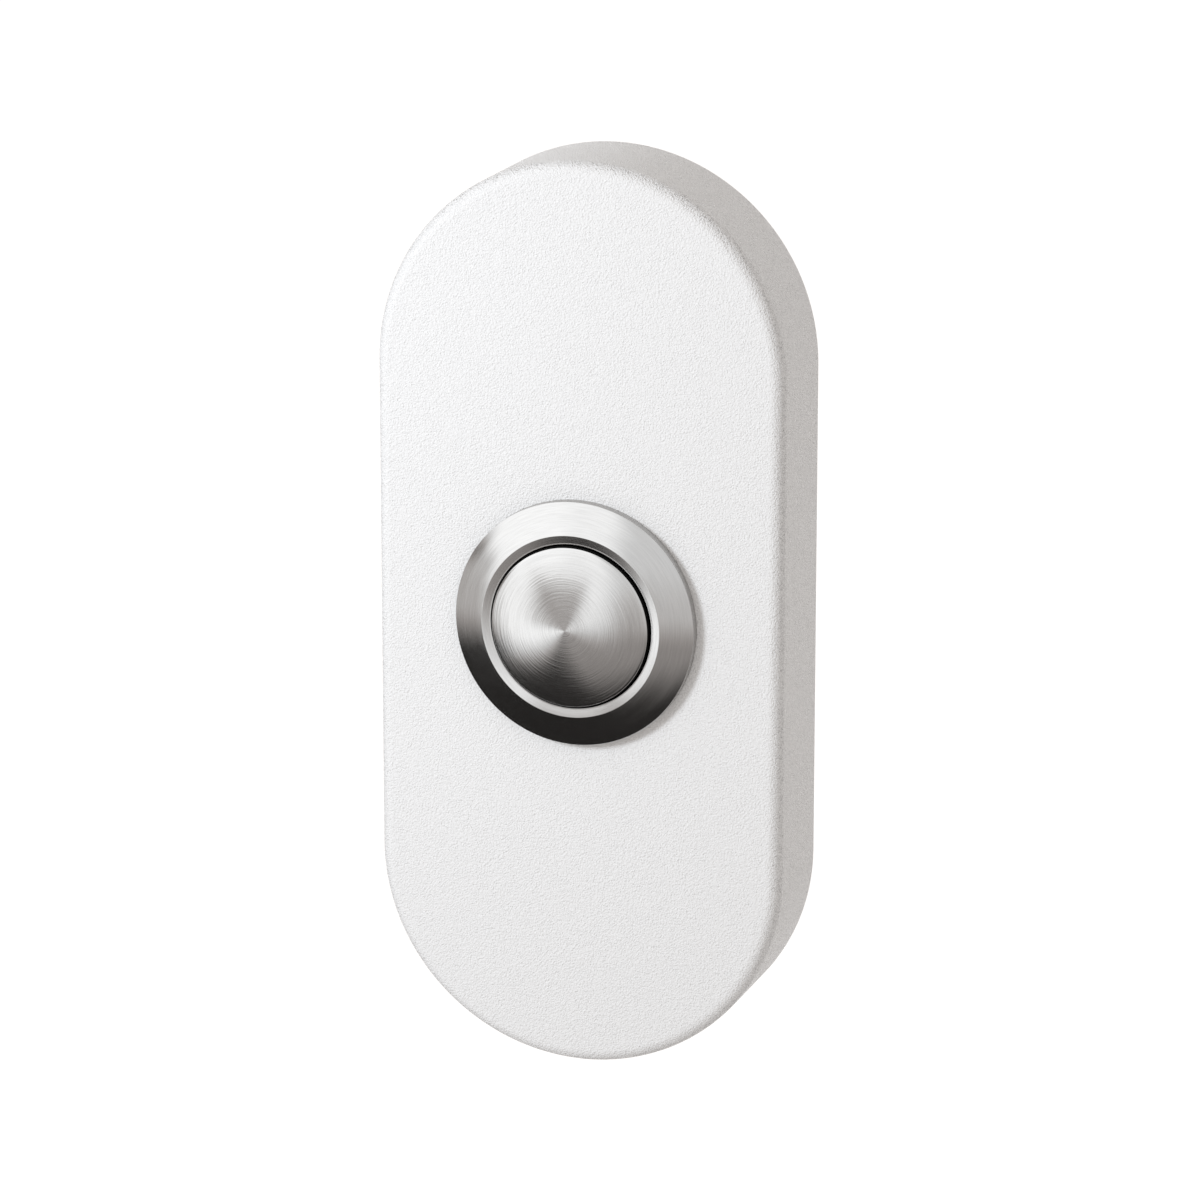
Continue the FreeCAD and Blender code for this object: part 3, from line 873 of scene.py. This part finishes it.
def make_spring():
    """Coil of round wire with a closed, flattened turn at each end."""
    wire = 0.25
    mean = spring_high.x - wire
    start = spring_low.y + wire
    end = spring_high.y - wire
    turns = 5.5
    closed = 0.75
    steps = 96
    sides = 16
    count = int(turns * steps)
    mesh = bmesh.new()
    rings = []
    for k in range(count + 1):
        share = k / count
        live = min(1.0, max(0.0, (share * turns - closed) / (turns - 2 * closed)))
        height = start + (end - start) * live
        angle = 2 * math.pi * turns * share
        out = Vector((math.cos(angle), 0, math.sin(angle)))
        ring = []
        for s in range(sides):
            around = 2 * math.pi * s / sides
            point = out * (mean + wire * math.cos(around))
            point.y = height + wire * math.sin(around)
            ring.append(mesh.verts.new(point))
        rings.append(ring)
    for a, b in zip(rings, rings[1:]):
        for s in range(sides):
            n = (s + 1) % sides
            mesh.faces.new([a[s], a[n], b[n], b[s]])
    mesh.faces.new(rings[0])
    mesh.faces.new(rings[-1][::-1])
    return mesh


def make_terminal_screw():
    """Cheese-head screw with a rounded top edge and a straight slot."""
    radius = terminal_head_radius
    under = screw_high.y - terminal_head_height
    shank = radius - terminal_head_overhang
    screw = lathe(rounded([
        (0, screw_low.y, 0),
        (shank, screw_low.y, 0.15),
        (shank, under, 0),
        (radius, under, 0.06),
        (radius, screw_high.y, 0.28),
        (0, screw_high.y, 0),
    ]), 96)
    bmesh.ops.translate(screw, vec=(terminal_x, 0, terminal_z), verts=screw.verts)
    reach = 3.0
    slot = block(
        (terminal_x - reach, terminal_x + reach),
        (screw_high.y - terminal_slot_depth, screw_high.y + overrun),
        (terminal_z - terminal_slot_side, terminal_z + terminal_slot_side),
    )
    return softened(cut(screw, slot), 0.03, angle=40)


def make_set_screw():
    """Cup-point set screw with its thread and a hexagonal socket in the lower end."""
    radius = set_high.x
    length = set_high.z - set_low.z
    pitch = 0.5
    depth = 0.3
    chamfer = 0.3
    rows_per_turn = 10
    socket_width = 1.5
    socket_depth = 1.8
    points = [Vector((0, 0)), Vector((radius - chamfer, 0))]
    rows = int(length / pitch * rows_per_turn)
    points += [Vector((radius, length * k / rows)) for k in range(1, rows)]
    points += [Vector((radius - chamfer, length)), Vector((0, length))]

    def screw_radius(reach, station, angle):
        """The thread, which runs out in a chamfer at both ends."""
        if reach < radius - 1e-6:
            return reach
        turns = station / pitch - angle / (2 * math.pi)
        away = 2 * abs(turns - round(turns))
        end = min(station, length - station)
        return min(radius - depth * away, radius - chamfer + end)

    screw = lathe(points, 96, screw_radius)
    socket = prism(circle(socket_width / math.sqrt(3), 6), -overrun, socket_depth)
    screw = cut(screw, socket)
    bmesh.ops.rotate(screw, matrix=Matrix.Rotation(turn(90), 3, "X"), verts=screw.verts)
    middle = (set_low.y + set_high.y) / 2
    bmesh.ops.translate(screw, vec=(0, middle, set_low.z), verts=screw.verts)
    return screw


def make_block():
    """Rear block: insert, flange, barrier between the terminals, and its holes."""
    insert = rear_bore - fit_gap
    flange = block_high.x
    front = block_low.y
    barrel_end = housing_high.y
    body = fused(
        rod(insert, front, barrel_end + bite, count=160),
        rod(flange, barrel_end, block_back, count=160),
    )
    barrier = combined(
        block(
            (-barrier_side, barrier_side),
            (barrel_end + bite, block_high.y),
            (barrier_inset - flange, barrier_top),
        ),
        [rod(flange, front, block_high.y + overrun, count=160)],
        "INTERSECT",
    )
    body = fused(body, barrier)
    screw_hole = terminal_head_radius - terminal_head_overhang + fit_gap
    hole = rod(
        screw_hole, screw_low.y - seat_gap, block_back + overrun, terminal_x, terminal_z, 64
    )
    leg = block(leg_sides, (front - overrun, block_back + overrun), (-leg_half_height, leg_half_height))
    relief = rod(pin_relief_radius, front - overrun, pin_relief_end, count=64)
    body = cut(body, hole, mirrored(hole), leg, mirrored(leg), relief)
    return softened(body, 0.08)


def dressed_copy(node, width):
    """A node's own solid, welded, with its sharp edges rounded off."""
    mesh = bmesh.new()
    mesh.from_mesh(frame["nodes"][node].data)
    bmesh.ops.scale(mesh, vec=(1 / MM, 1 / MM, 1 / MM), verts=mesh.verts)
    bmesh.ops.remove_doubles(mesh, verts=mesh.verts, dist=1e-4)
    bmesh.ops.dissolve_limit(
        mesh, angle_limit=turn(1), verts=mesh.verts, edges=mesh.edges, delimit={"SHARP"}
    )
    return softened(mesh, width)


# Finishes and painted shade of single faces


def head_steel(reach, station):
    """The finish of a face of the head, by its distance from the axis and its station; the bore gets
    near-black painted shade and the rim's side darker painted shade.
    """
    # painted shade: the bore is given near-black steel
    if reach < mouth_radius + 0.01:
        return shade_painted_steel
    if station > cover_face + 0.05:
        return barrel_steel
    # painted shade: the rim's side is given darker steel
    if reach > housing_high.x - 0.02:
        return rim_side_shade_steel
    if reach < crest_radius - 0.04:
        return chamfer_steel
    return materials["turned_stainless"]


def cap_face_steel(reach, station):
    """The dome and the lit part of its edge, and near-black painted shade on the side behind them, in
    the gap.
    """
    edge_end = cap_low.y + dome_height + lit_chamfer
    return shade_painted_steel if station > edge_end else cap_steel


def finish_faces(piece, steels, steel_at):
    """Adds the finishes, painted shade among them, to a turned piece and gives each face the one of its
    place.
    """
    for steel in steels:
        piece.data.materials.append(steel)
    for face in piece.data.polygons:
        reach = math.hypot(face.center.x, face.center.z) / MM
        steel = steel_at(reach, face.center.y / MM)
        face.material_index = piece.data.materials.find(steel.name)


# The pieces

finish_piece("coated_cover", make_cover(), "cover", sharp=40)
finish_piece("moulded_wall_plate", make_plate(), "base_plate", even=True)
head = finish_piece("turned_head", make_housing(), "button_housing", sharp=32)
finish_faces(head, (shade_painted_steel, rim_side_shade_steel, chamfer_steel, barrel_steel), head_steel)
cap = finish_piece("domed_cap", make_cap(), "button_cap")
cap.data.materials.clear()
finish_faces(cap, (cap_steel, shade_painted_steel), cap_face_steel)
finish_piece("square_ring", make_seal(), "cap_seal")
finish_piece("chamfered_nut", make_nut(), "hex_nut", sharp=20, even=True)
finish_piece("rear_block", make_block(), "terminal_block", even=True)
finish_piece("socket_set_screw", make_set_screw(), "cover_set_screw", sharp=40)
right_screw = make_terminal_screw()
left_screw = mirrored(right_screw)
finish_piece("slotted_screw_right", right_screw, "terminal_screw_right", even=True)
finish_piece("slotted_screw_left", left_screw, "terminal_screw_left", even=True)
for node in (
    "head_gasket", "lock_washer", "plunger", "plunger_clip", "contact_carrier", "contact_bridge",
    "contact_right", "contact_left", "terminal_clamp_right", "terminal_clamp_left",
):
    finish_piece(node + "_dressed", dressed_copy(node, 0.04), node, even=True)

# The spring is pressed against the floor of its pocket as the cap travels in; here it only gets a mesh
# of its own.
spring = finish_piece("coil_spring", make_spring(), "return_spring", sharp=60)
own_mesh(spring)


# Studio


def emission(name, level):
    """A card's plain glow, a little warmer where it is dim. Its strength is the mesh's own value."""
    material = bpy.data.materials.new(name)
    material.use_nodes = True
    material.cycles.emission_sampling = "NONE"
    tree = material.node_tree
    tree.nodes.clear()
    glow = tree.nodes.new("ShaderNodeEmission")
    shade = tree.nodes.new("ShaderNodeAttribute")
    shade.attribute_name = level
    tint = tree.nodes.new("ShaderNodeValToRGB")
    dim, bright = tint.color_ramp.elements
    dim.position = 0.35
    dim.color = (1.0, 0.93, 0.89, 1)
    bright.position = 0.75
    bright.color = (1, 1, 1, 1)
    tree.links.new(shade.outputs["Fac"], tint.inputs["Fac"])
    tree.links.new(tint.outputs["Color"], glow.inputs["Color"])
    out = tree.nodes.new("ShaderNodeOutputMaterial")
    tree.links.new(shade.outputs["Fac"], glow.inputs["Strength"])
    tree.links.new(glow.outputs[0], out.inputs[0])
    return material


def card(name, azimuths, elevations, shade, step=2.0):
    """A curved card round the button, seen only in gloss; shade gives its level by direction."""
    centre = Vector((0, cover_face * MM, 0))
    columns = max(2, round((azimuths[1] - azimuths[0]) / step))
    rows = max(2, round((elevations[1] - elevations[0]) / step))
    mesh = bmesh.new()
    layer = mesh.verts.layers.float.new("level")
    grid = []
    for r in range(rows + 1):
        elevation = elevations[0] + (elevations[1] - elevations[0]) * r / rows
        line = []
        for c in range(columns + 1):
            azimuth = azimuths[0] + (azimuths[1] - azimuths[0]) * c / columns
            way = direction(azimuth, elevation)
            vert = mesh.verts.new(centre + way * tent_radius)
            vert[layer] = shade(azimuth, elevation)
            line.append(vert)
        grid.append(line)
    for low, high in zip(grid, grid[1:]):
        for c in range(columns):
            mesh.faces.new([low[c], low[c + 1], high[c + 1], high[c]])
    data = bpy.data.meshes.new(name)
    mesh.to_mesh(data)
    data.materials.append(emission(name, "level"))
    piece = bpy.data.objects.new(name, data)
    bpy.context.scene.collection.objects.link(piece)
    piece.visible_camera = False
    piece.visible_diffuse = False
    piece.visible_shadow = False
    piece.visible_transmission = False


def direction(azimuth, elevation):
    """The way from the button to a place in the studio: azimuth 0 is straight in front."""
    a, e = turn(azimuth), turn(elevation)
    return Vector((math.sin(a) * math.cos(e), -math.cos(a) * math.cos(e), math.sin(e)))


def smooth(value, low, high):
    """0 below the low value, 1 above the high one, and a soft step between them."""
    share = min(1.0, max(0.0, (value - low) / (high - low)))
    return share * share * (3 - 2 * share)


def mixed(first, second, share):
    """The first value where the share is 0 and the second where it is 1."""
    return first + (second - first) * share


def rise(value, middle, soft):
    """A soft step up at the middle, which reaches this far to both sides."""
    return smooth(value, middle - soft, middle + soft)


def fall(value, middle, soft):
    """A soft step down at the middle."""
    return 1 - rise(value, middle, soft)


def upper_level(azimuth, elevation):
    """The soft boxes: bright above and in front, dimmer at both sides, with a grey band in front."""
    top_box, front_box = 1.19, 1.10
    left_low, left_high = 0.48, 0.24
    right_near, right_far, right_high = 0.38, 0.58, 0.72
    band = 0.40
    level = mixed(top_box, front_box, rise(azimuth, -21.5, 7) * fall(elevation, 45, 8))
    left = mixed(left_low, left_high, rise(elevation, 5, 4))
    level = mixed(level, left, fall(azimuth, -54, 3) * fall(elevation, 16, 8))
    right = mixed(right_near, right_far, rise(azimuth, 18, 4))
    right = mixed(right, right_high, rise(elevation, 3, 12))
    level = mixed(level, right, rise(azimuth, 4, 8))
    lean = 0.18 * (elevation + 15)
    across = rise(azimuth, -33, 3.5) * fall(azimuth, -12.5 + lean, 3.5)
    return mixed(level, band, across * rise(elevation, -13.5, 2) * fall(elevation, 6.5, 2))


def lower_level(azimuth, elevation):
    """The dark below the boxes, with a dim shelf at the right."""
    dark, shelf = 0.02, 0.30
    shelf_edge = -18.5 - 0.65 * (elevation + 30)
    shelf_floor = -40 + 0.25 * max(0, azimuth - 5)
    on_shelf = rise(azimuth, shelf_edge, 8) * rise(elevation, shelf_floor, 11)
    return mixed(dark, shelf, on_shelf)


def box_edge(azimuth):
    """The elevation of the boxes' lower edge, which rises round azimuth -15."""
    edge = mixed(-17.5, -26, rise(azimuth, -51, 4))
    edge = mixed(edge, -14, rise(azimuth, -4, 10))
    return edge + 13 * math.exp(-(((azimuth + 15) / 10) ** 2))


def tent_level(azimuth, elevation):
    """What the steel sees by direction, in degrees from straight in front of the button."""
    far_left, far_right = 0.22, 0.42
    level = upper_level(azimuth, elevation)
    below = fall(elevation, box_edge(azimuth), 8)
    level = mixed(level, lower_level(azimuth, elevation), below)
    far = max(fall(azimuth, -92, 6), rise(azimuth, 60, 8)) * fall(elevation, 12, 12)
    return mixed(level, mixed(far_left, far_right, rise(azimuth, 0, 1)), far)


card("tent", (-125, 110), (-89, 62), tent_level)


def area_lamp(name, way, distance, size, level):
    """A soft box; its level is the light it adds, against a world of strength 1."""
    data = bpy.data.lights.new(name, "AREA")
    data.shape = "SQUARE"
    data.size = size
    data.energy = level * math.pi ** 2 * distance ** 2
    data.color = key_colour
    lamp = bpy.data.objects.new(name, data)
    bpy.context.scene.collection.objects.link(lamp)
    lamp.location = way * distance
    lamp.rotation_mode = "QUATERNION"
    lamp.rotation_quaternion = (-way).to_track_quat("-Z", "Y")
    lamp.visible_camera = False
    lamp.visible_glossy = False
    return lamp


area_lamp("key_box", direction(*key_direction), key_distance, key_size, key_level)


def seen_directly(tree):
    """1 for the camera, for gloss and through glass, and 0 for the light on the object."""
    path = tree.nodes.new("ShaderNodeLightPath")
    seen = path.outputs["Is Camera Ray"]
    for ray in ("Is Glossy Ray", "Is Transmission Ray"):
        either = tree.nodes.new("ShaderNodeMath")
        either.operation = "MAXIMUM"
        tree.links.new(seen, either.inputs[0])
        tree.links.new(path.outputs[ray], either.inputs[1])
        seen = either.outputs[0]
    return seen


def make_world():
    """Plain ambient light, and pure white for the camera and for gloss."""
    world = bpy.data.worlds.new("studio")
    bpy.context.scene.world = world
    world.use_nodes = True
    tree = world.node_tree
    tree.nodes.clear()
    seen = seen_directly(tree)
    ambient = tree.nodes.new("ShaderNodeBackground")
    ambient.inputs["Color"].default_value = (*ambient_colour, 1)
    ambient.inputs["Strength"].default_value = ambient_level
    white = tree.nodes.new("ShaderNodeBackground")
    white.inputs["Color"].default_value = (1, 1, 1, 1)
    white.inputs["Strength"].default_value = 1.0
    mix = tree.nodes.new("ShaderNodeMixShader")
    out = tree.nodes.new("ShaderNodeOutputWorld")
    tree.links.new(seen, mix.inputs[0])
    tree.links.new(ambient.outputs[0], mix.inputs[1])
    tree.links.new(white.outputs[0], mix.inputs[2])
    tree.links.new(mix.outputs[0], out.inputs[0])
    world.cycles.sampling_method = "NONE"


def make_floor():
    """A plain pale floor well below the button, in metres. What is seen of it is lifted to white."""
    level = -0.16
    reach = 8.0
    lift_to_white = 0.5
    mesh = bmesh.new()
    bmesh.ops.create_circle(mesh, cap_ends=True, radius=reach, segments=96)
    data = bpy.data.meshes.new("floor")
    mesh.to_mesh(data)
    floor = bpy.data.objects.new("floor", data)
    floor.location.z = level
    bpy.context.scene.collection.objects.link(floor)
    material = bpy.data.materials.new("pale_floor")
    material.use_nodes = True
    tree = material.node_tree
    surface = tree.nodes["Principled BSDF"]
    surface.inputs["Base Color"].default_value = (0.85, 0.85, 0.85, 1)
    surface.inputs["Roughness"].default_value = 0.9
    surface.inputs["Specular IOR Level"].default_value = 0.0
    seen = seen_directly(tree)
    lift = tree.nodes.new("ShaderNodeMath")
    lift.operation = "MULTIPLY"
    lift.inputs[1].default_value = lift_to_white
    tree.links.new(seen, lift.inputs[0])
    surface.inputs["Emission Color"].default_value = (1, 1, 1, 1)
    tree.links.new(lift.outputs[0], surface.inputs["Emission Strength"])
    data.materials.append(material)


def make_camera():
    """The camera at the photograph's viewing angle."""
    data = bpy.data.cameras.new("camera")
    data.sensor_width = 36.0
    data.lens = camera_lens
    data.clip_start = 0.01
    data.clip_end = 50.0
    camera = bpy.data.objects.new("camera", data)
    bpy.context.scene.collection.objects.link(camera)
    back = direction(camera_azimuth, camera_elevation)
    camera.location = camera_target + back * camera_distance
    camera.rotation_mode = "QUATERNION"
    camera.rotation_quaternion = (-back).to_track_quat("-Z", "Y")
    bpy.context.scene.camera = camera


make_world()
make_floor()
make_camera()
bpy.context.scene.view_settings.view_transform = "Standard"
